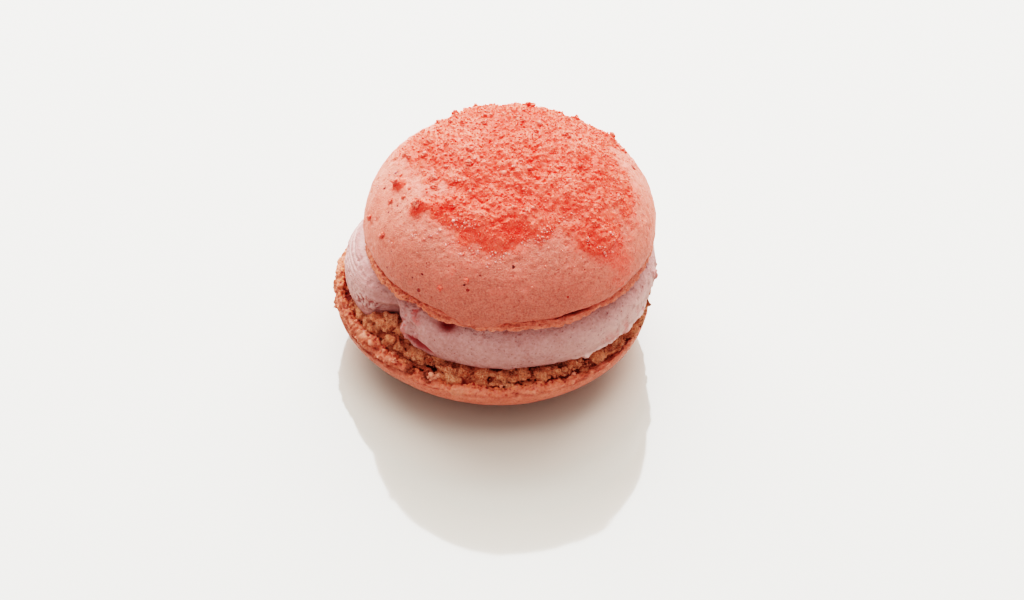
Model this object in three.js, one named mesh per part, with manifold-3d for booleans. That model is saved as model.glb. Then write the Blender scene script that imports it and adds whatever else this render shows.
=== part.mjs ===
// A French macaron for one person: two meringue shells with ruffled feet, a layer of baked crumb in the
// upturned bottom shell, and a ring of piped cream whose two ends meet in a cleft.
//
// Units are millimetres and +Z is up. The origin is the middle of the flat spot that the macaron stands on.
// Azimuth runs anticlockwise from +X seen from above, so 270 degrees is the front (-Y) and 180 is the left.
// Every piece is a stack of rings about its own upright axis: a profile of [radius, height] points, from the
// lower pole to the upper one, is worked out again at each azimuth, which is what makes the pieces uneven.

import * as THREE from "three";
import { mergeVertices } from "three/addons/utils/BufferGeometryUtils.js";
import Module from "manifold-3d";

const wasm = await Module();
wasm.setup();

const DEGREE = Math.PI / 180;
const GAP = 0.3; // air left between pieces that rest on each other

// Bottom shell: a baked dome turned upside down, so that its flat side holds the crumb.
const BOTTOM = {
  radius: 37.8,
  outline: [[1, 0.6, 10], [2, 0.6, -15], [3, 0.45, 46]],
  restRadius: 9, // flat spot under the dome
  domeHeight: 12.6, // height of the widest level
  domePower: 1.95, // 2 is an ellipse, more is boxier
  creaseDepth: 0.7, // groove between the dome and its foot
  creaseRise: 0.8,
  rimHeight: 14.8,
  rimRise: [[1, 1.8, 165], [9, 0.25, 12], [16, 0.2, 40]],
  ruffle: [[11, 0.25, 5], [19, 0.25, 33]],
  ruffleLevel: 0.6, // share of the foot's height at which it reaches furthest out
  lip: { width: 2.4, round: 0.5, fall: 0.3, slope: 1.5, toe: 1.2 }, // the foot's upper edge and inner side
  floorInset: 6.5,
  floorHeight: 11,
};

// Baked crumb: fills the bottom shell, spills over its rim at the front and right, heaped in the cleft.
const CRUMB = {
  wall: BOTTOM.lip.width + 1.9, // distance from the shell's edge to the crumb's side
  toe: 1.6, // height of the side's lower edge above the shell's floor
  overhang: { out: 0.7, drop: 0.4 }, // under the side's widest level
  side: 0.9, // how far the side stands out beyond the wall where nothing is spilled
  spill: { reach: 2.9, azimuth: 345, halfWidth: 95 }, // where the crumb lies out over the rim
  spillLift: 0.5, // air between the rim and the crumb spilled over it
  topHeight: 16.9,
  shoulder: 1.5, // drop from the upper face to the side's upper edge where nothing is spilled
  edge: { in: 0.3, drop: 0.5 }, // the rounded upper edge
  faceInsets: [1.8, 4, 6.5, 9.5, 13], // rings of the upper face, inwards from the side
  faceMiddle: 12, // radius within which the upper face is level
  lumps: [[6, 0.18, 15], [14, 0.28, 3], [23, 0.22, 8]],
  lumpReach: 6, // distance inwards over which the lumps die out
  heap: { azimuth: 214, radius: 30.5, height: 3.6, spread: 6.5 },
};

// Cream: the ring is piped a little wider than the top shell, and its last stretch bulges out at the left.
const CREAM = {
  centre: [4.4, -0.4],
  radius: 35.1,
  outline: [[2, 0.35, 10], [3, 0.25, 100]],
  baseHeight: 17.2,
  sideHeight: 29.1, // upper edge of the side, just under the top shell's foot
  topHeight: 30.3,
  topRadius: 30.4,
  topEdge: 1, // least step in from the side's upper edge to the raised middle
  levels: [0, 0.08, 0.2, 0.34, 0.5, 0.66, 0.8, 0.92, 1], // rings of the side, as shares of its height
  bulge: 3.3, // how far the side is drawn in at its bottom and top edges
  bulgeLevel: 0.46, // share of the height at which the side is widest
  bulgePower: 2.6,
  lobe: { azimuth: 179, halfWidth: 46, reach: 4.6 },
  cleft: {
    azimuth: { base: 217, top: 214 },
    halfWidth: { base: 15, top: 4 },
    depth: { base: 9.5, top: 2.5 },
  },
};

// Top shell: a full dome that overhangs its foot, with a flat underside.
const TOP = {
  centre: [4.5, -0.4],
  radius: 35,
  outline: [[2, 0.2, 60], [3, 0.15, 10]],
  undersideHeight: 30.6,
  footRadius: 34.1,
  footWidth: 2.6, // width of the ring that hangs below the underside
  footHang: [[8, 0.35, 25], [15, 0.3, 4], [21, 0.2, 11]],
  footFall: 0.2, // mean drop of the hanging ring
  hem: { width: 0.9, rise: 0.6 }, // its rounded lower edge
  ruffle: [[12, 0.2, 9], [20, 0.2, 2]],
  ruffleLevel: 0.6, // share of the foot's height at which it reaches furthest out
  ruffleReach: 0.1,
  creaseHeight: 33.8,
  crease: { depth: 1.3, lip: 0.36, rise: 0.6 }, // groove over the foot, and the edge of the crust above it
  widestHeight: 36.1,
  domeHeight: 20.9,
  domePower: 2.1,
};

const STEPS = { bottomAndCrumb: 80, cream: 100, top: 84 }; // facets round each piece

/** Sum of the waves round a rim, each one [count round the rim, height, azimuth of a crest in degrees]. */
function waves(azimuth, list) {
  const turnFrom = (crest) => azimuth - crest * DEGREE;
  const heights = list.map(([count, height, crest]) => height * Math.cos(count * turnFrom(crest)));
  return heights.reduce((sum, height) => sum + height, 0);
}

/** A smooth hump round a rim: 1 at centre, falling to 0 at halfWidth degrees to each side. */
function hump(azimuth, centre, halfWidth) {
  const turn = azimuth - centre * DEGREE;
  const away = Math.abs(Math.atan2(Math.sin(turn), Math.cos(turn))) / DEGREE;
  return away < halfWidth ? Math.cos((away / halfWidth) * 90 * DEGREE) ** 2 : 0;
}

function mix(from, to, share) {
  return from + (to - from) * share;
}

/** A point of a superellipse's quarter: [1, 0] at the widest level, [0, 1] at the pole. */
function quarterPoint(power, angle) {
  return [Math.cos(angle) ** (2 / power), Math.sin(angle) ** (2 / power)];
}

/** count points of the quarter from its widest level towards its pole, stopping short of the share inner. */
function quarter(power, count, inner = 0) {
  const last = Math.acos(inner ** (power / 2));
  return Array.from({ length: count }, (_, i) => quarterPoint(power, (i / count) * last));
}

/** A closed geometry from profileAt(azimuth), a list of [radius, height] from axis to axis. */
function ringGeometry(steps, profileAt) {
  const rings = profileAt(0).length - 2;
  const [, lowest] = profileAt(0)[0];
  const [, highest] = profileAt(0)[rings + 1];
  const points = [0, 0, lowest, 0, 0, highest];
  const faces = [];
  for (let step = 0; step < steps; step++) {
    const azimuth = (step / steps) * 360 * DEGREE;
    for (const [radius, height] of profileAt(azimuth).slice(1, -1)) {
      points.push(radius * Math.cos(azimuth), radius * Math.sin(azimuth), height);
    }
    const here = 2 + step * rings;
    const next = 2 + ((step + 1) % steps) * rings;
    faces.push(0, next, here);
    for (let ring = 0; ring < rings - 1; ring++) {
      faces.push(here + ring, next + ring, next + ring + 1);
      faces.push(here + ring, next + ring + 1, here + ring + 1);
    }
    faces.push(1, here + rings - 1, next + rings - 1);
  }
  const geometry = new THREE.BufferGeometry();
  geometry.setAttribute("position", new THREE.Float32BufferAttribute(points, 3));
  geometry.setIndex(faces);
  return geometry;
}

/** The solid of one geometry, for cutting. */
function solidOf(geometry) {
  const merged = mergeVertices(geometry);
  return new wasm.Manifold(
    new wasm.Mesh({
      numProp: 3,
      vertProperties: merged.attributes.position.array,
      triVerts: new Uint32Array(merged.index.array),
    }),
  );
}

/** The geometry of one solid, after cutting. */
function geometryOf(solid) {
  const cut = solid.getMesh();
  const geometry = new THREE.BufferGeometry();
  geometry.setAttribute("position", new THREE.Float32BufferAttribute(cut.vertProperties, cut.numProp));
  geometry.setIndex(new THREE.BufferAttribute(cut.triVerts, 1));
  return geometry;
}

/** Radius of the bottom shell's widest level. */
function bottomRadius(azimuth) {
  return BOTTOM.radius + waves(azimuth, BOTTOM.outline);
}

/** Height of the bottom shell's ragged upper edge. */
function rimHeight(azimuth) {
  return BOTTOM.rimHeight + waves(azimuth, BOTTOM.rimRise);
}

/** The upturned dome from its flat spot up to the widest level, its foot, the lip and the flat side. */
function bottomShellGeometry() {
  return ringGeometry(STEPS.bottomAndCrumb, (azimuth) => {
    const radius = bottomRadius(azimuth);
    const rim = rimHeight(azimuth);
    const foot = radius + waves(azimuth, BOTTOM.ruffle);
    const flat = BOTTOM.restRadius / radius;
    const depth = (1 - flat ** BOTTOM.domePower) ** (1 / BOTTOM.domePower); // where the flat cuts it
    const dome = quarter(BOTTOM.domePower, 7, flat)
      .reverse()
      .map(([out, down]) => [radius * out, BOTTOM.domeHeight * (1 - down / depth)]);
    const { lip } = BOTTOM;
    return [
      [0, 0],
      [BOTTOM.restRadius, 0],
      ...dome,
      [radius - BOTTOM.creaseDepth, BOTTOM.domeHeight + BOTTOM.creaseRise],
      [foot, mix(BOTTOM.domeHeight, rim, BOTTOM.ruffleLevel)],
      [foot - lip.round, rim],
      [radius - lip.width, rim - lip.fall],
      [radius - lip.width - lip.slope, BOTTOM.floorHeight + lip.toe],
      [radius - BOTTOM.floorInset, BOTTOM.floorHeight],
      [0, BOTTOM.floorHeight],
    ];
  });
}

/** Height of the crumb's upper face at a point of it: level, but for the heap in the cleft. */
function crumbTop(radius, azimuth) {
  const heap = CRUMB.heap;
  const x = radius * Math.cos(azimuth) - heap.radius * Math.cos(heap.azimuth * DEGREE);
  const y = radius * Math.sin(azimuth) - heap.radius * Math.sin(heap.azimuth * DEGREE);
  return CRUMB.topHeight + heap.height * Math.exp(-(x * x + y * y) / heap.spread ** 2);
}

/** The layer of crumb, with the cream's room cut out of its heap. */
function crumbGeometry() {
  const heaped = ringGeometry(STEPS.bottomAndCrumb, (azimuth) => {
    const edge = bottomRadius(azimuth);
    const wall = edge - CRUMB.wall;
    const spilled = hump(azimuth, CRUMB.spill.azimuth, CRUMB.spill.halfWidth);
    const side = wall + CRUMB.side + CRUMB.spill.reach * spilled;
    const rim = rimHeight(azimuth);
    const shelf = mix(CRUMB.topHeight - CRUMB.shoulder, rim + CRUMB.spillLift, spilled);
    const lump = waves(azimuth, CRUMB.lumps);
    const { overhang, edge: upperEdge } = CRUMB;
    return [
      [0, BOTTOM.floorHeight + GAP],
      [edge - BOTTOM.floorInset - GAP, BOTTOM.floorHeight + GAP],
      [wall - GAP, BOTTOM.floorHeight + CRUMB.toe],
      [wall + overhang.out, mix(shelf - overhang.drop, rim, spilled)],
      [side + lump, shelf],
      [side - upperEdge.in + lump, crumbTop(side, azimuth) - upperEdge.drop],
      ...CRUMB.faceInsets.map((inset) => {
        const radius = side - inset;
        const fade = Math.max(0, 1 - inset / CRUMB.lumpReach);
        return [radius, crumbTop(radius, azimuth) + lump * fade];
      }),
      [CRUMB.faceMiddle, CRUMB.topHeight],
      [0, CRUMB.topHeight],
    ];
  });
  const room = creamGeometry(GAP).translate(...CREAM.centre, 0);
  return geometryOf(solidOf(heaped).subtract(solidOf(room)));
}

/** Radius of the cream's side at one azimuth and at a share of its height. */
function creamRadius(azimuth, share) {
  const { lobe, cleft } = CREAM;
  const bulged = lobe.reach * hump(azimuth, lobe.azimuth, lobe.halfWidth);
  const ring = CREAM.radius + waves(azimuth, CREAM.outline) + bulged;
  const fromWidest = Math.abs(share - CREAM.bulgeLevel) / (1 - CREAM.bulgeLevel);
  const drawnIn = CREAM.bulge * fromWidest ** CREAM.bulgePower;
  const at = mix(cleft.azimuth.base, cleft.azimuth.top, share);
  const halfWidth = mix(cleft.halfWidth.base, cleft.halfWidth.top, share);
  const depth = mix(cleft.depth.base, cleft.depth.top, share);
  return ring - drawnIn - depth * hump(azimuth, at, halfWidth);
}

/** The piped ring, filled in at its middle. grow enlarges its side and base, to cut its own room. */
function creamGeometry(grow = 0) {
  const base = CREAM.baseHeight - grow;
  return ringGeometry(STEPS.cream, (azimuth) => [
    [0, base],
    ...CREAM.levels.map((share) => [creamRadius(azimuth, share) + grow, mix(base, CREAM.sideHeight, share)]),
    [Math.min(CREAM.topRadius, creamRadius(azimuth, 1) - CREAM.topEdge), CREAM.topHeight],
    [0, CREAM.topHeight],
  ]);
}

/** The flat underside, the ruffled foot, the crease above it and the dome. */
function topShellGeometry() {
  return ringGeometry(STEPS.top, (azimuth) => {
    const radius = TOP.radius + waves(azimuth, TOP.outline);
    const foot = TOP.footRadius + waves(azimuth, TOP.ruffle);
    const hang = TOP.undersideHeight - TOP.footFall + waves(azimuth, TOP.footHang);
    const dome = quarter(TOP.domePower, 11).map(([out, up]) => [
      radius * out,
      TOP.widestHeight + TOP.domeHeight * up,
    ]);
    const { hem, crease } = TOP;
    return [
      [0, TOP.undersideHeight],
      [TOP.footRadius - TOP.footWidth, TOP.undersideHeight],
      [foot - hem.width, hang],
      [foot, hang + hem.rise],
      [foot + TOP.ruffleReach, mix(hang, TOP.creaseHeight, TOP.ruffleLevel)],
      [radius - crease.depth, TOP.creaseHeight],
      [radius - crease.lip, TOP.creaseHeight + crease.rise],
      ...dome,
      [0, TOP.widestHeight + TOP.domeHeight],
    ];
  });
}

/** A named mesh of one piece, standing on the axis through centre. */
function piece(name, geometry, material, centre = [0, 0]) {
  geometry.computeVertexNormals();
  const mesh = new THREE.Mesh(geometry, material);
  mesh.name = name;
  mesh.position.set(...centre, 0);
  return mesh;
}

const shellFinish = new THREE.MeshStandardMaterial({ color: "#dd8f7a", roughness: 0.75, metalness: 0 });
const crumbFinish = new THREE.MeshStandardMaterial({ color: "#b0704a", roughness: 0.9, metalness: 0 });
const creamFinish = new THREE.MeshStandardMaterial({ color: "#cfa5a8", roughness: 0.55, metalness: 0 });

const macaron = new THREE.Group();
macaron.name = "macaron";
macaron.add(
  piece("bottom_shell", bottomShellGeometry(), shellFinish),
  piece("crumb_layer", crumbGeometry(), crumbFinish),
  piece("cream_filling", creamGeometry(), creamFinish, CREAM.centre),
  piece("top_shell", topShellGeometry(), shellFinish, TOP.centre),
);

export default macaron;
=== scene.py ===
"""A French macaron in fine detail: two salmon meringue shells with ruffled feet, a layer of baked crumb, a
piped ring of pink cream, and coarse coral sugar dusted over the top.

Shapes are worked out in millimetres and become metres when a mesh is made. +Z is up and the origin is the
middle of the flat spot that the macaron stands on. Places round a rim are azimuths, anticlockwise from +X
seen from above: 270 degrees is the front and 180 the left. Most pieces are stacks of rings: an array of
levels by steps, from the lower pole to the upper one, whose points are then pushed in or out along the
surface by a relief. Each noise has a size, how far apart its bumps lie, and a seed of its own.
"""

import itertools
import math

import bpy
import numpy as np
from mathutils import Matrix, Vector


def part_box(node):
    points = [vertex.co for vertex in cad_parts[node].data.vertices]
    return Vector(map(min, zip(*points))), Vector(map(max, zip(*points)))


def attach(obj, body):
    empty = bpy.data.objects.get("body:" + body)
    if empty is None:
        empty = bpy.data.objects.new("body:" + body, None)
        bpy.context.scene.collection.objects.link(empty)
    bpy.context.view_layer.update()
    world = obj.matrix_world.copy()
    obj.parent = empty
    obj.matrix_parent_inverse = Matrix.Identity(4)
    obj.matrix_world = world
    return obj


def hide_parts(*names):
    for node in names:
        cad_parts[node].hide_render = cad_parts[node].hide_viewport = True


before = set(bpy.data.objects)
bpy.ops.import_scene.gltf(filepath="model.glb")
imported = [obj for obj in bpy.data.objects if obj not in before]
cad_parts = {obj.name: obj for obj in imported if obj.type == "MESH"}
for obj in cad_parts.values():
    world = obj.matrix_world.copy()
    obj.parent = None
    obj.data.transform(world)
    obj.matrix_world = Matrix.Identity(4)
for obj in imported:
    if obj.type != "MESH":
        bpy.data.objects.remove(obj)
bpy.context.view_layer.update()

MM = 0.001  # a millimetre in metres
SEED = 20  # is added to the seed of every noise and every source of random draws


# ---------------- sizes, in millimetres and degrees


def box_of(node):
    """Lowest and highest corner of a solid, in millimetres."""
    return np.array(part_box(node)) / MM


top_low, top_high = box_of("top_shell")
cream_low, cream_high = box_of("cream_filling")
top_widest = 36.1

# The dome is a superellipse of that power and of height dome over its widest level. The foot hangs below it,
# down to its hem.
TOP = {
    "centre": (top_low + top_high)[:2] / 2,
    "radius": (top_high - top_low)[:2].mean() / 2,
    "widest": top_widest,
    "dome": top_high[2] - top_widest,
    "power": 2.1,
    "foot_radius": 34.1,
    "foot_top": 34.2,
    "hem": 31.6,
    "hem_humps": [(0.9, 230, 12), (0.9, 306, 6), (-0.8, 252, 11, 24), (-0.5, 292, 12)],
    "slit": (295.5, 9),
}
# The side is drawn in above and below its widest share of the height. The cleft opens at the front left.
CREAM = {
    "centre": np.array([4.4, -0.4]),
    "radius": 35.1,
    "outline": [(2, 0.35, 10), (3, 0.25, 100)],
    "bulge": (4.6, 179, 46),
    "base": cream_low[2] + 0.3,
    "base_humps": [(-1.7, 188, 45, 22), (1.7, 358, 52)],
    "top": 30.0,
    "middle_top": cream_high[2],
    "drawn_in": 3.3,
    "widest_share": 0.46,
    "bulge_power": 2.6,
    "cleft": 221,
}
# An upturned dome from the flat spot it rests on to its widest level, then a rim round a hollow with a floor.
BOTTOM = {
    "radius": 37.8,
    "outline": [(1, 0.6, 10), (2, 0.6, -15), (3, 0.45, 46)],
    "rest_radius": 9,
    "widest": 12.6,
    "power": 1.95,
    "rim": 14.8,
    "rim_rise": [(1, 1.8, 165), (9, 0.25, 12), (16, 0.2, 40)],
    "dip": (-1.1, 247, 27),
    "floor": 11,
}
# The crumb fills the hollow up to a wall's thickness from the rim, and is heaped up in the cream's cleft.
CRUMB = {
    "wall": 4.3,
    "top": 16.9,
    "top_humps": [(-1.6, 190, 45, 17), (1.4, 358, 52)],
    "heap": {"azimuth": 217, "radius": 31.5, "height": 3.6, "spread": 4.8},
}


# ---------------- curves


def ramp(value, low, high):
    """0 below low, 1 above high, and 3t^2 - 2t^3 between."""
    t = np.clip((value - low) / (high - low), 0, 1)
    return t * t * (3 - 2 * t)


def bell(value, middle, width, power=2):
    """1 in the middle and exp(-d^power) away from it, d being how many widths away."""
    return np.exp(-abs((value - middle) / width) ** power)


def azimuths(steps):
    """Even steps once round, in radians."""
    return np.arange(steps) / steps * 2 * math.pi


def waves(azimuth, parts):
    """Sum of the waves round a rim, each one (count round the rim, height, azimuth of a crest)."""
    return sum(high * np.cos(count * (azimuth - math.radians(crest))) for count, high, crest in parts)


def hump(azimuth, centre, before, after=None):
    """A smooth hump round a rim: 1 at centre, a squared cosine falling to 0 over the angles given."""
    turn = np.degrees(azimuth) - centre
    turn = (turn + 180) % 360 - 180
    width = np.where(turn < 0, before, before if after is None else after)
    return np.where(abs(turn) < width, np.cos(turn / width * math.pi / 2) ** 2, 0)


def humps(azimuth, *rows):
    """Sum of humps round a rim, each one (height, centre, before) or (height, centre, before, after)."""
    return sum(high * hump(azimuth, *place) for high, *place in rows)


def superellipse(angle, power):
    """Across and up along a quarter of a superellipse: cosine and sine to the power 2 / power."""
    return np.cos(angle) ** (2 / power), np.sin(angle) ** (2 / power)


# ---------------- noise


HASH_STEPS = np.array([73856093, 19349663, 83492791], dtype=np.uint64)
HASH_SEED_STEP, HASH_START = 2654435761, 97
HASH_FOLDS = ((15, 2246822519), (13, 3266489917), (16, 668265263))
CORNER_SHIFT, CENTRE_SHIFT = 211.7, 137.3  # cells by which the patterns are moved off the origin
PEBBLE_REACH, CHIP_REACH = 0.85, 0.8  # cells from the centre of a pebble or a chip to where it ends
FURTHEST = 9.0  # cells, more than the nearest centre can be away


def dice(seed):
    """A source of random draws that gives the same ones every time."""
    return np.random.default_rng(SEED + seed)


def cell_random(cells, seed):
    """A random number from 0 to 1 for each whole-numbered cell: its three numbers are multiplied by large
    primes and added, the sum's high bits are folded onto its low ones three times, and 24 bits are kept."""
    bits = (cells.view(np.uint64) * HASH_STEPS).sum(axis=-1)
    bits += np.uint64((SEED + seed) * HASH_SEED_STEP + HASH_START)
    for shift, factor in HASH_FOLDS:
        bits ^= bits >> np.uint64(shift)
        bits *= np.uint64(factor)
    return ((bits >> np.uint64(20)) & np.uint64(0xFFFFFF)) / 0x1000000


def noise(points, size, seed):
    """Smooth noise from -1 to 1: a random value at each corner of cells of that size, blended between the
    eight corners by 6t^5 - 15t^4 + 10t^3. size may differ along x, y and z."""
    scaled = points / np.asarray(size) + CORNER_SHIFT
    cell = np.floor(scaled).astype(np.int64)
    t = scaled - cell
    t = t**3 * (t * (6 * t - 15) + 10)
    total = np.zeros(points.shape[:-1])
    for corner in itertools.product((0, 1), repeat=3):
        corner = np.array(corner)
        total += np.where(corner, t, 1 - t).prod(axis=-1) * cell_random(cell + corner, seed)
    return 2 * total - 1


def fractal(points, size, seed, octaves=4, gain=0.5):
    """Noise at a size, its half, its quarter and so on, each gain times as strong as the one before."""
    size = np.asarray(size, dtype=float)
    layers = [gain**i * noise(points, size / 2**i, seed + 31 * i) for i in range(octaves)]
    return sum(layers) / sum(gain**i for i in range(octaves))


def layered(points, *layers):
    """Sum of fractal noises, each one (strength, size, seed, octaves)."""
    return sum(strength * fractal(points, *layer) for strength, *layer in layers)


def blotches(points, size, seed, octaves, low, high):
    """Soft-edged blotches of 1 on 0: fractal noise, ramped from low to high."""
    return ramp(fractal(points, size, seed, octaves), low, high)


def nearest(points, size, seed):
    """The nearest of random centres, one in each cell of that size: the way from it, how far away it is and
    the cell it is in."""
    scaled = points / np.asarray(size) + CENTRE_SHIFT
    home = np.floor(scaled).astype(np.int64)
    way, owner = np.zeros(points.shape), home
    away = np.full(points.shape[:-1], FURTHEST)
    for offset in itertools.product((-1, 0, 1), repeat=3):
        cell = home + np.array(offset)
        centre = cell + np.stack([cell_random(cell, seed + i) for i in range(3)], axis=-1)
        far = np.linalg.norm(scaled - centre, axis=-1)
        closer = (far < away)[..., None]
        way = np.where(closer, scaled - centre, way)
        owner = np.where(closer, cell, owner)
        away = np.minimum(away, far)
    return way, away, owner


def numbered_pebbles(points, size, seed):
    """Rounded pebbles packed side by side: the height is that of a half ball about the nearest centre, 1 on
    it and 0 where they meet. Also a random number a pebble."""
    _, away, owner = nearest(points, size, seed)
    return np.sqrt(np.clip(1 - (away / PEBBLE_REACH) ** 2, 0, 1)), cell_random(owner, seed + 3)


def pebbles(points, size, seed):
    """The height of numbered_pebbles alone."""
    return numbered_pebbles(points, size, seed)[0]


def pits(points, size, share, seed):
    """Small round holes, 1 in the middle of each: the tops of that share of the pebbles of one size."""
    height, number = numbered_pebbles(points, size, seed)
    return np.where(number < share, ramp(height, 0.72, 0.95), 0)


def chips(points, size, seed):
    """Broken chips packed side by side: each is a flat facet with a height and a tilt of its own, so that
    chips meet in steps. Also a random number a chip, and how far inside it each place is, 0 at its edge."""
    way, away, owner = nearest(points, size, seed)
    tilt = np.stack([cell_random(owner, seed + 5 + i) for i in range(3)], axis=-1) - 0.5
    height = 0.15 + 0.8 * cell_random(owner, seed + 3) + 0.9 * (way * tilt).sum(axis=-1)
    return height, cell_random(owner, seed + 4), np.clip(1 - (away / CHIP_REACH) ** 2, 0, 1)


def bent(points, size, amount, seed):
    """The points, each moved up to amount by noise of one size, which makes what is read there crooked."""
    return points + amount * np.stack([noise(points, size, seed + i) for i in range(3)], axis=-1)


def ridges(points, size, seed, octaves=3):
    """Sharp crooked ridges, 1 along them and falling away: 1 - 2 |noise|, at a size and its halves."""
    size = np.asarray(size, dtype=float)
    layers = [(1 - 2 * abs(noise(points, size / 2**i, seed + 17 * i))) / 2**i for i in range(octaves)]
    return sum(layers) / sum(0.5**i for i in range(octaves))


# ---------------- rings


def trace(points, counts, smoothing=0):
    """Levels along a line of (radius, height) points, each a number or one value a step: counts[i] levels
    evenly from point i to the next. smoothing rounds the corners, one quarter-half-quarter pass a time."""
    steps = max(np.size(value) for point in points for value in point)
    corners = np.array([[np.broadcast_to(value, steps) for value in point] for point in points])
    parts = []
    for start, end, count in zip(corners, corners[1:], counts):
        share = (np.arange(count) / count)[:, None, None]
        parts.append(start + (end - start) * share)
    levels = smoothed(np.concatenate(parts + [corners[-1:]]), smoothing)
    return levels[:, 0], levels[:, 1]


def smoothed(levels, passes):
    """The levels, each pass a quarter of both neighbours and half of itself. The first and last stay."""
    for _ in range(passes):
        levels[1:-1] = (levels[:-2] + 2 * levels[1:-1] + levels[2:]) / 4
    return levels


def rings_of(radius, height, azimuth, centre=(0, 0)):
    """Points of a ring, or of a stack of rings as levels by steps, by xyz."""
    x = centre[0] + radius * np.cos(azimuth)
    y = centre[1] + radius * np.sin(azimuth)
    return np.stack([x, y, np.broadcast_to(height, x.shape)], axis=-1)


def outward(rings):
    """Unit normals of a stack of rings: the way round crossed with the way up."""
    around = np.roll(rings, -1, axis=1) - np.roll(rings, 1, axis=1)
    along = np.gradient(rings, axis=0)
    normal = np.cross(around, along)
    return normal / np.maximum(np.linalg.norm(normal, axis=-1, keepdims=True), 1e-9)


def pushed(rings, relief):
    """The rings with each point moved out along its normal by the relief there."""
    return rings + outward(rings) * relief[..., None]


# ---------------- meshes


def make_mesh(name, points, faces, material, masks=None, smooth=True):
    """An object at the origin with its place in its mesh. masks are named numbers, one a point."""
    mesh = bpy.data.meshes.new(name)
    mesh.from_pydata((points * MM).tolist(), [], faces)
    mesh.polygons.foreach_set("use_smooth", np.full(len(mesh.polygons), smooth))
    for mask, values in (masks or {}).items():
        layer = mesh.attributes.new(mask, "FLOAT", "POINT")
        layer.data.foreach_set("value", np.ravel(values).astype(np.float32))
    mesh.materials.append(material)
    mesh.update()
    piece = bpy.data.objects.new(name, mesh)
    bpy.context.collection.objects.link(piece)
    return piece


def ring_faces(levels, steps):
    """Faces of a closed stack of rings: a fan at each pole and four-sided faces between the rings. Point 0 is
    the lower pole, the last point the upper one."""
    step = np.arange(steps)
    after = (step + 1) % steps
    level = np.arange(levels - 1)[:, None] * steps + 1
    sides = np.stack([level + step, level + after, level + steps + after, level + steps + step], axis=-1)
    last = 1 + (levels - 1) * steps
    low = np.stack([np.zeros(steps, int), 1 + after, 1 + step], axis=-1)
    high = np.stack([np.full(steps, last + steps), last + step, last + after], axis=-1)
    return sides.reshape(-1, 4).tolist() + low.tolist() + high.tolist()


def ring_piece(name, rings, material, masks):
    """A closed piece from a stack of rings. Its poles are the middles of the lowest and highest ring."""
    levels, steps, _ = rings.shape
    points = np.concatenate([rings[:1].mean(axis=1), rings.reshape(-1, 3), rings[-1:].mean(axis=1)])
    full = {mask: np.concatenate([[values[0].mean()], np.ravel(values), [values[-1].mean()]])
            for mask, values in masks.items()}
    return make_mesh(name, points, ring_faces(levels, steps), material, full)


def sheet_piece(name, grid, inner, material, masks):
    """A closed piece from a grid of points, columns by rows: its edge is gathered to one point inside, where
    the masks are 0."""
    columns, rows, _ = grid.shape
    index = np.arange(columns * rows).reshape(columns, rows)
    cells = [index[:-1, :-1], index[1:, :-1], index[1:, 1:], index[:-1, 1:]]
    faces = np.stack(cells, axis=-1).reshape(-1, 4).tolist()
    edge = np.concatenate([index[:-1, 0], index[-1, :-1], index[:0:-1, -1], index[0, :0:-1]])
    pole = np.full(len(edge), columns * rows)
    faces += np.stack([np.roll(edge, -1), edge, pole], axis=-1).tolist()
    full = {mask: np.append(np.ravel(values), 0) for mask, values in masks.items()}
    points = np.concatenate([grid.reshape(-1, 3), [inner]])
    return make_mesh(name, points, faces, material, full)


UP = np.array([0.0, 0.0, 1.0])


def lump_piece(name, centres, sizes, ups, material, masks, steps, levels, rough, seed, flat=1.0, knobs=None,
               smooth=True):
    """Many small lumps as one mesh, sizes being how far across they are. Each is a ball of levels rings of
    steps points, turned a random way, whose points are moved in and out by up to the share rough, then
    pressed by flat along its up direction. knobs are the height of noise and ridges that break it, and
    their seed. masks are one number a lump."""
    draw = dice(seed)
    count = len(centres)
    ups = np.broadcast_to(ups, centres.shape)
    tilt = (np.arange(levels) + 1) / (levels + 1) * math.pi - math.pi / 2
    turn = azimuths(steps) + np.arange(levels)[:, None] * math.pi / steps
    ball = rings_of(np.cos(tilt)[:, None], np.sin(tilt)[:, None], turn)
    ball = np.concatenate([[[0, 0, -1]], ball.reshape(-1, 3), [[0, 0, 1]]])
    spin, _ = np.linalg.qr(draw.normal(size=(count, 3, 3)))
    spin *= np.linalg.det(spin)[:, None, None]
    shape = np.einsum("nij,vj->nvi", spin, ball) * (1 + rough * draw.uniform(-1, 1, (count, len(ball), 1)))
    squash = draw.uniform(0.75, 1.25, (count, 1, 3))
    shape = shape * squash * np.reshape(sizes, (-1, 1, 1)) / 2
    rise = np.einsum("nvi,ni->nv", shape, ups)
    shape -= (rise * (1 - flat))[..., None] * ups[:, None, :]
    points = centres[:, None, :] + shape
    if knobs:
        height, knob_seed = knobs
        crags = 1.1 * noise(points, 1.7, knob_seed) + 0.6 * ridges(points, 1.2, knob_seed + 1) - 0.2
        away = shape / np.maximum(np.linalg.norm(shape, axis=-1, keepdims=True), 1e-6)
        points = points + away * (height * crags)[..., None]
    one = ring_faces(levels, steps)
    faces = [[corner + first for corner in face] for first in range(0, count * len(ball), len(ball))
             for face in one]
    full = {mask: np.repeat(values, len(ball)) for mask, values in masks.items()}
    return make_mesh(name, points.reshape(-1, 3), faces, material, full, smooth)


# ---------------- shader nodes


def seen(red, green, blue):
    """A colour given as it looks on a screen, each part from 0 to 255, as linear light with alpha."""
    parts = np.array([red, green, blue]) / 255
    linear = np.where(parts <= 0.04045, parts / 12.92, ((parts + 0.055) / 1.055) ** 2.4)
    return (*linear.tolist(), 1.0)


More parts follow.
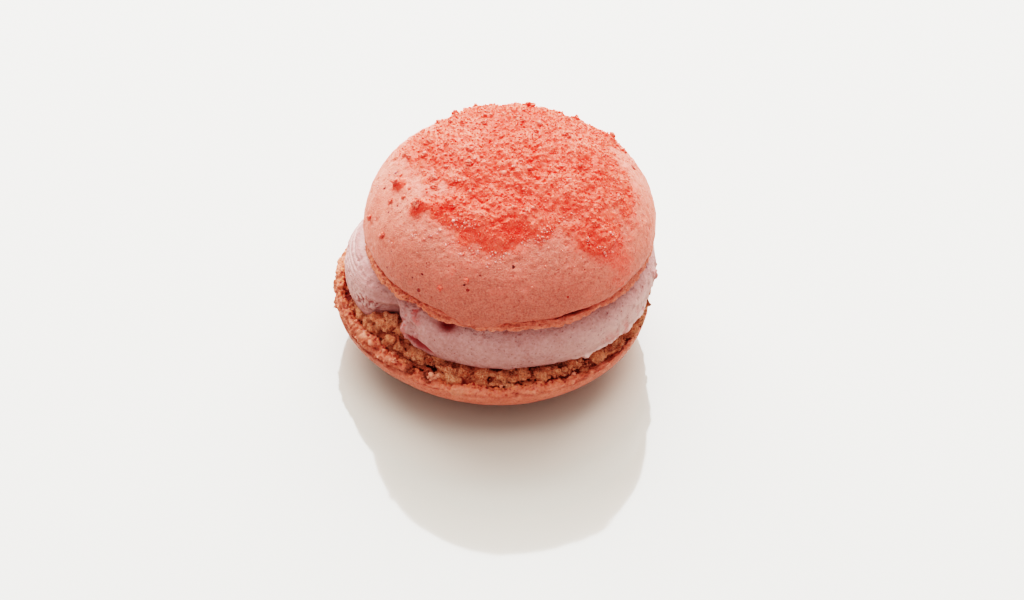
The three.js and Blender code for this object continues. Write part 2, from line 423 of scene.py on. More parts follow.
def add(tree, kind, inputs=None, **settings):
    """Adds a node. inputs gives its sockets values or other nodes' outputs, by name or number."""
    node = tree.nodes.new("ShaderNode" + kind)
    for key, value in settings.items():
        setattr(node, key, value)
    for key, value in (inputs or {}).items():
        if isinstance(value, bpy.types.NodeSocket):
            tree.links.new(value, node.inputs[key])
        else:
            node.inputs[key].default_value = value
    return node


def math_node(tree, operation, first, second, clamp=False):
    """The output of a node that works out one sum, held between 0 and 1 if clamp is true."""
    return add(tree, "Math", {0: first, 1: second}, operation=operation, use_clamp=clamp).outputs[0]


def new_group(name, output, **numbers):
    """A node group that takes coordinates and named numbers and gives one value: its tree, what its input
    node gives out and the socket that its result goes to."""
    tree = bpy.data.node_groups.new(name, "ShaderNodeTree")
    tree.interface.new_socket("Coordinates", in_out="INPUT", socket_type="NodeSocketVector")
    for label, default in numbers.items():
        socket = tree.interface.new_socket(label, in_out="INPUT", socket_type="NodeSocketFloat")
        socket.default_value = default
    tree.interface.new_socket(output, in_out="OUTPUT", socket_type="NodeSocketFloat")
    given = tree.nodes.new("NodeGroupInput").outputs
    return tree, given, tree.nodes.new("NodeGroupOutput").inputs[output]


def texture(tree, kind, place, size, **inputs):
    """A texture at those coordinates whose cells have that size in millimetres."""
    scale = math_node(tree, "DIVIDE", 1 / MM, size)
    return add(tree, "Tex" + kind, {"Vector": place, "Scale": scale, **inputs}).outputs


def make_patches():
    """Soft patches: fractal noise of one size, spread about its middle by contrast."""
    tree, given, taken = new_group("soft_patches", "Mask", Size=5.0, Contrast=3.0)
    clouds = texture(tree, "Noise", given["Coordinates"], given["Size"], Detail=4.0, Roughness=0.6)
    off = math_node(tree, "SUBTRACT", clouds[0], 0.5)
    spread = math_node(tree, "MULTIPLY", off, given["Contrast"])
    tree.links.new(math_node(tree, "ADD", spread, 0.5, clamp=True), taken)
    return tree


def make_specks():
    """Small round specks: one may sit in each cell of a Voronoi pattern. Share is how many cells have one,
    and Radius, as a share of the cell, how large the largest is."""
    tree, given, taken = new_group("specks", "Mask", Size=1.0, Share=0.2, Radius=0.3)
    cells = texture(tree, "Voronoi", given["Coordinates"], given["Size"])
    split = add(tree, "SeparateColor", {0: cells["Color"]}).outputs
    chosen = math_node(tree, "LESS_THAN", split[0], given["Share"])
    grown = math_node(tree, "MULTIPLY", math_node(tree, "ADD", split[1], 0.3), given["Radius"])
    inside = math_node(tree, "SUBTRACT", grown, cells["Distance"])
    edge = math_node(tree, "MULTIPLY", inside, 14.0, clamp=True)
    tree.links.new(math_node(tree, "MULTIPLY", edge, chosen), taken)
    return tree


def make_grain():
    """Fine surface grain: noise at one size and a sandier pattern at a third of it."""
    tree, given, taken = new_group("grain", "Height", Size=0.6, Sand=0.5)
    soft = texture(tree, "Noise", given["Coordinates"], given["Size"], Detail=5.0, Roughness=0.65)
    third = math_node(tree, "MULTIPLY", given["Size"], 0.33)
    sand = texture(tree, "Voronoi", given["Coordinates"], third)
    sunk = math_node(tree, "MULTIPLY", sand["Distance"], given["Sand"])
    tree.links.new(math_node(tree, "SUBTRACT", soft[0], sunk), taken)
    return tree


PATCHES, SPECKS, GRAIN = make_patches(), make_specks(), make_grain()


# ---------------- finishes


class Finish:
    """A material being made, with its colour so far. Light goes into it by depth, in millimetres, and bleed
    says how far its red, green and blue spread."""

    def __init__(self, name, roughness, specular, subsurface=0.0, depth=0.6, bleed=(1.0, 0.35, 0.2)):
        """Makes the material and sets its shader's plain numbers."""
        self.material = bpy.data.materials.new(name)
        self.material.use_nodes = True
        self.tree = self.material.node_tree
        self.shader = self.tree.nodes["Principled BSDF"].inputs
        self.shader["Roughness"].default_value = roughness
        self.shader["Specular IOR Level"].default_value = specular
        self.shader["Subsurface Weight"].default_value = subsurface
        self.shader["Subsurface Radius"].default_value = bleed
        self.shader["Subsurface Scale"].default_value = depth * MM
        self.place = add(self.tree, "TexCoord").outputs["Object"]
        self.colour = None

    def mask(self, name):
        """A mask that the piece's mesh carries."""
        return add(self.tree, "Attribute", attribute_name=name).outputs["Fac"]

    def use(self, group, **inputs):
        """Places a node group on the piece and gives back its one output."""
        return add(self.tree, "Group", {"Coordinates": self.place, **inputs}, node_tree=group).outputs[0]

    def patches(self, size, contrast):
        """Soft patches of a size in millimetres."""
        return self.use(PATCHES, Size=size, Contrast=contrast)

    def specks(self, size, share, radius):
        """Specks in that share of the cells of a size in millimetres."""
        return self.use(SPECKS, Size=size, Share=share, Radius=radius)

    def grain(self, size, sand):
        """The height of a fine grain of a size in millimetres."""
        return self.use(GRAIN, Size=size, Sand=sand)

    def times(self, first, second, clamp=False):
        """A mask times another one or a number."""
        return math_node(self.tree, "MULTIPLY", first, second, clamp)

    def plus(self, first, second, share):
        """The first mask and a share of the second added up."""
        return math_node(self.tree, "ADD", first, self.times(second, share))

    def between(self, share, first, second):
        """The colour that is first where share is 0 and second where it is 1."""
        return add(self.tree, "Mix", {0: share, 6: first, 7: second}, data_type="RGBA").outputs[2]

    def tint(self, mask, strength, colour):
        """Turns the colour so far to another one, by a mask times a strength."""
        self.colour = self.between(self.times(mask, strength), self.colour, colour)

    def done(self, height=None, distance=0.0):
        """Gives the shader its colour, and a bump as high as height times distance, in millimetres."""
        self.tree.links.new(self.colour, self.shader["Base Color"])
        if height is not None:
            raised = add(self.tree, "Bump", {"Height": height, "Distance": distance * MM, "Strength": 1.0})
            self.tree.links.new(raised.outputs[0], self.shader["Normal"])
        return self.material


def shell_finish(name, high, low, baked):
    """Meringue: two salmon tones in soft patches, browner where baked is high, which on some pieces is
    painted shade, and coral where dusted, deeper if stained, with a sandy speckle, pores and dark flecks.
    Where porous it is orange foam with holes, where hollow it is dark with painted shade, and on flake edges
    and the painted highlights of raised parts it is pale."""
    finish = Finish(name, 0.5, 0.4, subsurface=0.1)
    broad = finish.patches(9.0, 2.6)
    fine = finish.patches(1.6, 3.5)
    finish.colour = finish.between(finish.plus(finish.times(broad, 0.5), fine, 0.5), low, high)
    crust = finish.plus(finish.mask("baked"), fine, -0.22)
    # Browns the skin where baked; on the top crust's front and the lower shell's left side this is painted
    # shade.
    finish.tint(math_node(finish.tree, "MAXIMUM", crust, 0.0), 1.0, baked)
    dust = finish.between(finish.mask("stained"), seen(255, 121, 107), seen(255, 86, 70))
    finish.tint(finish.mask("dusted"), 1.0, dust)
    finish.tint(finish.patches(0.42, 4.5), 0.3, seen(255, 158, 142))
    pores = finish.specks(0.75, 0.5, 0.32)
    finish.tint(pores, 0.4, seen(172, 66, 48))
    finish.tint(finish.specks(2.2, 0.1, 0.13), 0.8, seen(104, 26, 20))
    porous = finish.mask("porous")
    finish.tint(finish.patches(1.0, 5.0), porous, seen(222, 124, 88))
    finish.tint(finish.specks(0.9, 0.75, 0.42), porous, seen(150, 44, 26))
    # Painted shade: dark in creases, cracks, recesses and low places.
    finish.tint(finish.mask("hollow"), 0.85, seen(110, 30, 18))
    # Pale on flake edges, and as a painted highlight on raised parts.
    finish.tint(finish.mask("pale_and_highlight"), 0.6, seen(250, 184, 160))
    return finish.done(finish.plus(finish.grain(0.75, 0.5), pores, -0.5), 0.2)


def sugar_finish(name, deep, middle, pale, roughness, depth):
    """Coral sugar: deep red low down, coral above and pale on the tips, finely mottled. On drifts and clumps
    the deep red is painted shade in the crevices and the pale a painted highlight on the tips; on fruit
    flecks the same mask says how red they are.
    """
    finish = Finish(name, roughness, 0.35, subsurface=0.6, depth=depth, bleed=(1.0, 0.4, 0.3))
    rise = finish.plus(finish.mask("rise"), finish.patches(0.5, 3.5), 0.2)
    rise = math_node(finish.tree, "SUBTRACT", rise, 0.1)
    # Painted shade where rise is low, and a painted highlight where it is high.
    low = finish.between(finish.times(rise, 2.0, clamp=True), deep, middle)
    over = math_node(finish.tree, "SUBTRACT", rise, 0.5)
    finish.colour = finish.between(finish.times(over, 1.8, clamp=True), low, pale)
    return finish.done(finish.grain(0.5, 0.5), 0.1)


def crumb_finish():
    """Baked crumb: dark between the lumps as painted shade, golden to red brown on them by kind, pale on the
    sandy tips as a painted highlight, and full of pores."""
    finish = Finish("baked_crumb", 0.55, 0.35, subsurface=0.05)
    rise = finish.mask("rise")
    finish.colour = finish.between(finish.mask("kind"), seen(200, 100, 66), seen(238, 146, 110))
    finish.tint(finish.patches(0.9, 3.2), 0.6, seen(170, 72, 42))
    # Painted shade: dark red brown where rise is low, between the lumps.
    finish.colour = finish.between(finish.times(rise, 1.8, clamp=True), seen(122, 34, 16), finish.colour)
    # Painted highlight: pale on the high sandy tips.
    finish.tint(finish.times(finish.patches(0.4, 5.0), rise), 0.65, seen(252, 184, 152))
    pores = finish.specks(0.6, 0.5, 0.36)
    finish.tint(pores, 0.4, seen(98, 28, 14))
    return finish.done(finish.plus(finish.grain(0.7, 0.7), pores, -0.45), 0.5)


def cream_finish():
    """Fruit cream: mauve pink, mottled and full of fine bubbles and fruit flecks of two sizes, with red
    streaks, pale where lit as a painted highlight, and dark red where torn open, which in the pocket under
    the foot is painted shade."""
    finish = Finish("cream", 0.5, 0.35, subsurface=0.2, depth=0.8, bleed=(1.0, 0.45, 0.4))
    mottle = finish.plus(finish.times(finish.patches(5.0, 2.6), 0.45), finish.patches(0.8, 3.5), 0.55)
    finish.colour = finish.between(mottle, seen(180, 122, 117), seen(208, 156, 152))
    # Painted highlight: pale on the lit side, rib crests, the fringe, the drip and raised parts of the patch.
    finish.tint(finish.mask("pale"), 0.55, seen(244, 206, 200))
    finish.tint(finish.mask("streak"), 0.7, seen(208, 84, 78))
    # Dark red where torn; in the pocket under the foot this is painted shade.
    finish.tint(finish.mask("torn"), 0.9, seen(152, 40, 40))
    bubbles = finish.specks(0.65, 0.45, 0.3)
    finish.tint(bubbles, 0.45, seen(150, 82, 82))
    finish.tint(finish.specks(1.7, 0.35, 0.14), 0.65, seen(140, 50, 54))
    finish.tint(finish.specks(4.0, 0.4, 0.13), 0.7, seen(112, 36, 40))
    return finish.done(finish.plus(finish.grain(0.8, 0.4), bubbles, -0.5), 0.25)


def floor_finish():
    """A plain pale floor, a little glossy."""
    finish = Finish("floor", 0.06, 0.8)
    finish.shader["IOR"].default_value = 1.65
    finish.colour = finish.between(finish.patches(90.0, 0.5), seen(192, 188, 178), seen(196, 192, 182))
    return finish.done()


SHELL = shell_finish("shell", seen(243, 130, 114), seen(218, 92, 76), seen(178, 91, 76))
FOOT = shell_finish("shell_foot", seen(232, 134, 113), seen(208, 100, 81), seen(176, 78, 56))
BASE = shell_finish("shell_base", seen(232, 138, 115), seen(207, 102, 81), seen(172, 78, 46))
# The glint sugar is pale as a painted highlight, standing for glints and sparkles on the sugar.
SUGAR, GRAIN_SUGAR, PINK_SUGAR, GLINT_SUGAR, FRUIT = (
    sugar_finish(name, seen(*deep), seen(*middle), seen(*pale), roughness, depth)
    for name, deep, middle, pale, roughness, depth in (
        ("coral_sugar", (252, 58, 38), (255, 88, 70), (255, 120, 102), 0.5, 0.5),
        ("grain_sugar", (255, 72, 54), (255, 96, 78), (255, 130, 114), 0.5, 0.12),
        ("pink_sugar", (255, 94, 76), (255, 114, 98), (255, 144, 130), 0.5, 0.12),
        ("glint_sugar", (255, 104, 92), (255, 128, 116), (255, 168, 158), 0.3, 0.2),
        ("fruit_fleck", (46, 10, 10), (150, 40, 28), (214, 70, 50), 0.35, 0.1),
    ))
BAKED = crumb_finish()
PINK = cream_finish()


# ---------------- top shell


def skin_relief(points):
    """The baked skin's unevenness, in millimetres: slow swells, shallow dents, an orange peel and a tooth."""
    return layered(points, (0.3, 17, 1, 2), (0.22, 7.5, 4, 1), (0.1, 3.0, 2, 3), (0.06, 0.95, 3, 2))


def dome_at(x, y):
    """Points and normals of the top shell's dome over places given from its axis: a superellipse turned
    about the axis, height = (1 - (r / R)^p)^(1 / p) of the dome's full height above its widest level."""
    power = TOP["power"]
    away = np.hypot(x, y)
    out = away / TOP["radius"]
    rest = np.clip(1 - out ** power, 1e-4, 1)
    height = TOP["widest"] + TOP["dome"] * rest ** (1 / power)
    slope = TOP["dome"] / TOP["radius"] * out ** (power - 1) * rest ** (1 / power - 1)
    away = np.maximum(away, 1e-6)
    normal = np.stack([slope * x / away, slope * y / away, np.ones_like(slope)], axis=-1)
    normal /= np.linalg.norm(normal, axis=-1, keepdims=True)
    points = np.stack([TOP["centre"][0] + x, TOP["centre"][1] + y, height], axis=-1)
    return points, normal


# Where sugar fell on the dome: middle from its axis, half length, half width, turn, strength.
DUSTED = [
    (4, -5, 17, 17, 0, 1.0), (-3, -20, 13, 7, -8, 1.0), (5, 12, 10, 8, 20, 0.8),
    (-13.5, -16.5, 5.5, 3.4, -10, 1.0), (17, -2, 9, 10, 0, 0.8), (20, -21, 8, 4.5, 14, 0.74),
    (18, -13, 6, 5, 0, 0.7), (-21, -13.5, 2.4, 1.8, 20, 0.9), (-26, -4, 1.8, 1.8, 0, 0.9),
    (-12, -2, 14, 16, 0, 0.42), (5, 22, 10, 5.5, 0, 0.78), (-10, 22, 8, 5, 20, 0.55),
    (19, 14, 9, 8, 0, 0.65), (-8, 17, 8, 6, 0, 0.35), (-6, 8, 22, 16, 0, 0.36),
    (22, 14, 3.5, 4, 0, 0.7), (25, -2, 6, 14, 0, 0.42), (27, -10, 3, 5, 0, 0.4),
    (-19, 13, 9, 9, 0, 0.38), (-18, 2, 7, 8, 0, 0.38), (-8.5, -27, 8, 3.6, -4, 0.34),
]
# Where it drew moisture and darkened.
SOAKED = [
    (-17, -15.5, 4.5, 1.8, -12, 1.0), (-10, -21.5, 6, 1.6, -18, 1.0), (-1, -24, 5.5, 1.5, 5, 0.9),
    (2, -17.5, 7, 1.4, 8, 0.8), (12, -17, 5, 1.3, 4, 0.8), (-12, -9, 5, 2.0, 30, 0.7),
    (-14, -1, 2.5, 3.5, 0, 0.7), (1, 9, 4, 2.5, 0, 0.7), (9, -2, 5, 2.0, -20, 0.6),
    (18, -1, 3, 2.5, 0, 0.6), (27, -12.5, 1.8, 2.5, 0, 0.4),
]
# Where pale grains, a painted highlight standing for glints, lie along its lower edge.
GLOSSY = [
    (-8, -27, 8, 1.8, -4, 1.0), (5, -24.5, 6, 1.6, 10, 0.6), (16, -20, 6, 1.8, 12, 0.6),
    (-24, -17.5, 3.5, 1.8, 0, 0.5), (-14, -20, 4, 1.5, -20, 0.6),
]


def patches_at(patches, x, y):
    """How much of the patches lies at a place, about 0 to 1: their soft union, each exp(-d^3)."""
    bare = np.ones_like(x)
    for middle_x, middle_y, length, width, turn, strength in patches:
        angle = math.radians(turn)
        along = (x - middle_x) * math.cos(angle) + (y - middle_y) * math.sin(angle)
        across = (y - middle_y) * math.cos(angle) - (x - middle_x) * math.sin(angle)
        bare *= 1 - strength * bell(np.hypot(along / length, across / width), 0, 1, power=3)
    return 1 - bare


def dusting(points, x, y):
    """The dusting's density, broken up into drifts and crumbs by noise."""
    return patches_at(DUSTED, x, y) + layered(points, (0.2, 7, 11, 3), (0.22, 1.9, 12, 3))


def top_crust():
    """Underside, rolled lip and dome. The lip is a quarter ellipse, drop high and inset wide, and runs down
    over the foot at the front left in two runs. The skin is pitted, creased where bare and bumpy where sugar
    lies on it. Its colour is browner low down, from baking, and browner towards the front as painted shade,
    and its creases are darkened with painted shade."""
    azimuth = azimuths(540)
    radius = np.full(len(azimuth), TOP["radius"])
    rim = rings_of(30, 0, azimuth)
    flow = hump(azimuth, 254, 10, 16)
    inset = 0.9 - 0.35 * flow + 0.15 * fractal(rim, 5, 5)
    drop = 2.0 + 2.9 * flow + humps(azimuth, (-0.5, 224, 24), (-0.75, *TOP["slit"]))
    drop = drop + 0.3 * fractal(rim, 6, 6)
    under = TOP["widest"] - drop
    inner = [(18, under.mean() + 0.3), (radius - inset - 1.6, under + 0.3), (radius - inset, under)]
    inner_radius, inner_height = trace(inner, (3, 6))
    lip = np.linspace(math.pi / 2, 0, 24, endpoint=False)[1:, None]
    across, up = superellipse(np.linspace(0, math.pi / 2, 150, endpoint=False)[:, None], TOP["power"])
    radii = np.concatenate([inner_radius, radius - inset * (1 - np.cos(lip)), radius * across])
    heights = np.concatenate([inner_height, TOP["widest"] - drop * np.sin(lip),
                              TOP["widest"] + TOP["dome"] * up + 0 * radius])
    rings = rings_of(radii, heights, azimuth, TOP["centre"])
    low = 1 - ramp(heights, TOP["widest"] - 2, TOP["widest"] + 5)
    runs = humps(azimuth, (1, 246, 3.2), (0.7, 264, 4), (-0.5, 255, 4)) * ramp(-heights, -43, -36)
    relief = skin_relief(rings) + low * layered(rings, (0.14, 1.6, 7, 3)) + 0.45 * runs
    relief -= 0.2 * pits(rings, 1.7, 0.1, 8)
    x, y = np.moveaxis(rings[..., :2] - TOP["centre"], -1, 0)
    field = dusting(rings, x, y)
    above = heights > TOP["widest"]
    powder = pebbles(rings, 0.95, 9)
    bumpy = ramp(field, -0.15, 0.45) * above
    relief += bumpy * (0.3 * powder + layered(rings, (0.2, 2.2, 10, 2)))
    crease = ramp(ridges(bent(rings, 4, 1.5, 14), 11, 13, 1), 0.95, 1.0) * (1 - bumpy)
    relief -= 0.12 * crease
    # Painted shade: the skin is made browner towards the front, which faces away from the lamp, a little less
    # so at the front right. Low down near the foot it is browner from baking.
    front = ramp(-y, 4, 26)
    # baked carries that browning and the painted shade at the front; hollow darkens the creases with painted
    # shade.
    masks = {"dusted": ramp(field, -0.05, 0.7) * above * (0.6 + 0.4 * powder),
             "stained": ramp(field, 0.15, 0.6),
             "baked": np.clip(0.3 * low + 0.9 * front, 0, 1) * (1 - 0.35 * hump(azimuth, 320, 40)),
             "hollow": 0.2 * crease}
    return ring_piece("top_crust", pushed(rings, relief), SHELL, masks)


def top_foot():
    """The ruffled foot: a band between the lip and a jagged hem, in thin ledges, pitted with burst bubbles.
    A ledge's relief falls off upwards from its lower edge, and a crack runs over it, drawn only as a dark
    line of painted shade. At the front right a slit opens under the lip. The foot, its recesses and the slit
    are darkened with painted shade; the hem's edge is pale and the raised ledges carry a painted highlight."""
    azimuth = azimuths(1000)
    rim = rings_of(30, 0, azimuth)
    top = TOP["foot_top"]
    hem = TOP["hem"] + humps(azimuth, *TOP["hem_humps"]) - 1.5 * abs(noise(rim, 2.3, 36))
    hem = hem + layered(rim, (0.5, 4.5, 21, 2), (0.3, 1.3, 28, 2))
    foot = TOP["foot_radius"] + layered(rim, (0.35, 6, 22, 2)) + 0.4 * hump(azimuth, 215, 40)
    points = [(22, hem.mean() + 0.3), (foot - 3, hem + 0.5), (foot - 0.8, hem), (foot - 0.1, hem + 0.35),
              (foot + 0.2, hem + 0.45 * (top - hem)), (foot, top - 0.5), (foot - 0.7, top),
              (foot - 3, top + 0.7)]
    radii, heights = trace(points, (3, 8, 9, 20, 24, 12, 8), smoothing=2)
    rings = rings_of(radii, heights, azimuth, TOP["centre"])
    ledge = ((heights - hem) / 0.95 + layered(rim, (0.7, 7, 23, 3), (0.25, 1.5, 29, 2))) % 1
    crumbs = pebbles(rings, (1.5, 1.5, 1.0), 24)
    side = ramp(radii, foot - 2.2, foot - 0.9)
    relief = 0.42 * (1 - ledge) ** 1.5 + 0.35 * (crumbs - 0.6) + layered(rings, (0.22, 0.8, 26, 3))
    slit = hump(azimuth, *TOP["slit"]) ** 0.5
    slit = slit * ramp(heights, top - 1.1, top - 0.7) * ramp(radii, foot - 1.5, foot - 0.4)
    relief = (relief - 0.3 * pits(rings, 1.0, 0.35, 25)) * side - 1.6 * slit
    # Painted shade: a dark line just under the next ledge, standing for a crack.
    crack = ramp(ledge, 0.72, 0.92) * blotches(rings, 3, 27, 2, -0.25, 0.25)
    edge = bell(heights, hem + 0.15, 0.22) * blotches(rim, 2.5, 38, 2, -0.1, 0.3)
    # The hollow mask is painted shade: over the foot under the lip, where the relief is low, along the crack
    # and in the slit. The next mask makes the hem's edge pale and adds a painted highlight on raised ledges.
    masks = {"baked": np.clip(0.35 + layered(rings, (0.5, 2.2, 30, 2)), 0, 1),
             "pale_and_highlight": np.clip(edge + 0.5 * ramp(relief, 0.45, 0.8), 0, 1) * side,
             "hollow": np.clip(0.15 - 0.6 * relief + 0.6 * crack + slit, 0, 1) * side,
             "porous": (0.15 + 0.5 * hump(azimuth, 215, 45)) * side}
    return ring_piece("top_foot", pushed(rings, relief), FOOT, masks)


# ---------------- sugar and flecks on the top shell


def sugar_thickness(points, x, y):
    """How far the dusting stands off the skin, below it where little fell: the density over a threshold,
    heaped into clumps, crumbs and grains. Also how high each place is among its neighbours, from 0 to 1."""
    field = dusting(points, x, y)
    crooked = bent(points, 2.0, 0.8, 35)
    clumps = pebbles(crooked, 3.6, 31)
    small = pebbles(crooked, 1.6, 32)
    grains = pebbles(points, 0.65, 33)
    rise = np.clip(0.38 * clumps + 0.42 * small + 0.2 * grains + layered(points, (0.5, 4.5, 34, 2)), 0, 1)
    over = np.maximum(field - 0.42, 0)
    thick = over * (0.1 + 3.2 * rise) - 0.12 * ramp(-field, -0.46, -0.36)
    return thick, rise, field


def sugar_drifts():
    """The dusting where it lies thick: a round grid laid over the dome and pushed out by its thickness."""
    side = np.linspace(-1, 1, 312)
    u, v = np.meshgrid(side, side, indexing="ij")
    x = 31 * u * np.sqrt(1 - v * v / 2)
    y = 31 * v * np.sqrt(1 - u * u / 2) - 1
    points, normals = dome_at(x, y)
    thick, rise, field = sugar_thickness(points, x, y)
    soaked = patches_at(SOAKED, x, y) * blotches(points, 2.5, 37, 3, -0.5, 0.15)
    # Colour by rise is painted light: deep in the crevices as painted shade, pale on the crests as a painted
    # highlight. Thin dusting is paler, and soaked places are darker.
    tone = 0.45 + 0.55 * (rise - 0.45) + 0.4 * (1 - ramp(field, 0.4, 0.65)) - 0.3 * soaked
    edge = ramp(1 - np.maximum(abs(u), abs(v)), 0, 0.06)
    lift = skin_relief(points) + thick * edge - 0.6 * (1 - edge)
    inner = (*TOP["centre"], TOP["widest"] + 3)
    return sheet_piece("sugar_drifts", points + normals * lift[..., None], inner, SUGAR, {"rise": tone})


def on_dome(x, y):
    """Where something dropped at a place from the shell's axis comes to lie, the normal and the density."""
    points, normals = dome_at(x, y)
    thick, _, field = sugar_thickness(points, x, y)
    lift = skin_relief(points) + np.maximum(thick, 0)
    return points + normals * lift[..., None], normals, field


def fallen(count, wanted, draw):
    """Random places on the dome, each kept in proportion to wanted(density there, x, y)."""
    x, y = draw.uniform(-33, 33, (2, count * 8))
    inside = np.hypot(x, y) < 33.5
    x, y = x[inside], y[inside]
    centres, normals, field = on_dome(x, y)
    key = -np.log(draw.uniform(0, 1, len(field))) / np.maximum(wanted(field, x, y), 1e-6)
    chosen = np.argsort(key)[:count]
    return centres[chosen], normals[chosen], field[chosen]


def thickly(field, x, y):
    """Most where the dusting lies thick."""
    return ramp(field, 0.35, 1.0) + 0.01


def widely(field, x, y):
    """All over the dusting and a little way out from it."""
    return ramp(field, -0.05, 0.45) * ramp(patches_at(DUSTED, x, y), 0.02, 0.22) + 0.01


def at_front_edge(field, x, y):
    """In crooked chains along the lower edge of the dusting."""
    chains = ramp(ridges(np.stack([x, y, 0 * x], axis=-1), 4.0, 76), 0.35, 0.65)
    return chains * patches_at(GLOSSY, x, y) ** 2 * ramp(field, 0.1, 0.45)


def sugar_grains(name, count, wanted, seed, size, material):
    """Loose sugar grains on the drifts and scattered over the skin, paler where few lie, one mesh."""
    draw = dice(seed)
    centres, normals, field = fallen(count, wanted, draw)
    sizes = size * draw.lognormal(0, 0.3, count)
    centres = centres + normals * (sizes * 0.2)[:, None]
    masks = {"rise": draw.uniform(0.4, 0.7, count) + 0.5 * (1 - ramp(field, 0.1, 0.5))}
    return lump_piece(name, centres, sizes, normals, material, masks, 4, 1, 0.3, seed)


# Clumps of sugar that stand off the skin: place from the shell's axis, size across.
CLUMPS = [
    (-21, -13.5, 3.0), (-26, -4, 2.2), (-28, -7.5, 1.7), (-16, -30.2, 1.3), (-10, -31.2, 1.0), (-24, 6, 1.6),
    (-20, 2, 1.9), (-18, -6, 2.0), (-13, 24, 2.2), (-9, 26, 1.8), (-4, 27.5, 1.9), (5, 25, 2.6), (8, 27, 2.2),
    (12, 24, 2.4), (16, 22, 2.0), (24, 16, 1.8), (27, 12, 1.9), (22, 4, 1.7), (24, -4, 1.6), (25, -9, 1.7),
    (13, 8, 2.2), (2, 14, 2.4), (-6, 12, 2.0), (-30, -14, 1.2), (-33.2, -6, 1.4), (-17, 21, 1.7),
    (-21, 17, 1.5), (-25, 11, 1.4), (-23.6, 3.6, 1.4), (-18.6, 6.6, 1.7), (-14.7, 4, 1.5), (-23.3, -6.7, 1.0),
    (-24.9, -8.5, 0.9), (-25.8, -1, 1.3), (-12.7, -8.8, 1.7), (-9, -0.3, 1.6), (-9.2, -4.6, 1.8),
]
# Short rows of pale grains, a painted highlight standing for glints on wet sugar, along the lower edge of
# the dusting: place from the shell's axis, length.
GLINTS = [
    (-13.4, -24.6, 1.6), (-9, -26.3, 1.4), (-7.6, -27, 1.7), (-11.3, -27.1, 1.2), (-3.7, -27.8, 1.6),
    (-1.2, -27.9, 1.4), (-2.6, -28.8, 1.6), (-9, -28.8, 1.2), (-4.9, -29.6, 1.4), (-12.1, -20.1, 1.7),
    (-10, -21.2, 2.0), (-8.1, -22, 1.5), (3.6, -25.7, 1.6), (7.1, -24.7, 2.2), (8.9, -22.8, 1.6),
    (-18.3, -21.1, 1.6), (-16.5, -20.8, 1.4), (-21.9, -19.8, 1.2), (21, -22.9, 1.4), (18.7, -22.6, 1.6),
    (23.4, -19.1, 1.2),
]
# Dark flecks in the skin: place from the shell's axis, size across, and how red from 0, black, to 1.
FLECKS = [
    (-28.5, -10.2, 0.45, 0), (-24.3, -14.2, 0.4, 0.2), (-27.6, -19, 0.4, 0.2), (-20.2, -26.9, 0.6, 0.25),
    (-22.6, -25.9, 0.5, 0.2), (-10.5, -31.6, 0.5, 0.2), (-9.7, -32.3, 0.7, 0.5), (2.7, -31.6, 0.6, 0.8),
    (0.8, -30.1, 0.85, 0.1), (13.3, -31.9, 0.6, 0.7), (27.9, -18.4, 0.7, 0.4), (28.4, -17, 0.5, 0.2),
    (17.3, -27.6, 0.4, 0.3), (25.7, 3.7, 1.3, 0), (29.3, 6.6, 1.7, 0.8), (-21.2, -27.7, 0.8, 0.4),
    (-15, -16.6, 0.9, 1), (-17, -9.8, 0.9, 0.9), (-27, 1, 0.9, 0.3), (-29.5, -2, 0.8, 0.4),
]


def sugar_clumps():
    """Clumps of grains at the places given and at random ones between them: round each place they lie in a
    ball, thickest in the middle, and those below the skin are turned up over it."""
    draw = dice(74)
    loose = draw.uniform(-27, 27, (90, 2))
    loose = loose[np.hypot(loose[:, 0] + 6, loose[:, 1] - 3) < 25]
    spots = np.concatenate([CLUMPS, np.column_stack([loose, draw.uniform(0.7, 1.5, len(loose))])])
    place = np.repeat(spots, (13 * spots[:, 2] ** 2).astype(int), axis=0)
    centres, normals, _ = on_dome(place[:, 0], place[:, 1])
    count = len(place)
    spread = draw.normal(0, 1, (count, 3))
    spread *= (draw.uniform(0, 1, count) ** 0.5 / np.linalg.norm(spread, axis=-1))[:, None]
    spread *= place[:, 2:] * (0.42 + layered(centres + 2 * spread, (0.4, 2.0, 77, 2)))[:, None]
    rise = (spread * normals).sum(axis=-1)
    spread += (abs(rise) * 0.85 - rise)[:, None] * normals
    sizes = 0.5 * draw.lognormal(0, 0.35, count)
    # Grains high in a clump take the pale colour as a painted highlight, low ones the deep as painted shade.
    masks = {"rise": np.clip(0.6 + rise / place[:, 2] + draw.uniform(-0.15, 0.15, count), 0.4, 0.9)}
    return lump_piece("sugar_clumps", centres + spread, sizes, normals, PINK_SUGAR, masks, 5, 2, 0.2, 74)


def glint_rows():
    """Pale grains in short rows on the skin, a painted highlight standing for glints on wet sugar: round each
    of GLINTS, spread wider along x than along y.
    """
    draw = dice(79)
    spots = np.array(GLINTS)
    place = np.repeat(spots, (11 * spots[:, 2] ** 1.5).astype(int), axis=0)
    x, y = (place[:, :2] + place[:, 2:] * draw.normal(0, (0.5, 0.22), (len(place), 2))).T
    centres, normals, _ = on_dome(x, y)
    sizes = 0.36 * draw.lognormal(0, 0.4, len(place))
    centres = centres + normals * (0.2 * sizes)[:, None]
    masks = {"rise": draw.uniform(0.3, 1.1, len(place))}
    return lump_piece("glint_rows", centres, sizes, normals, GLINT_SUGAR, masks, 5, 2, 0.2, 79)


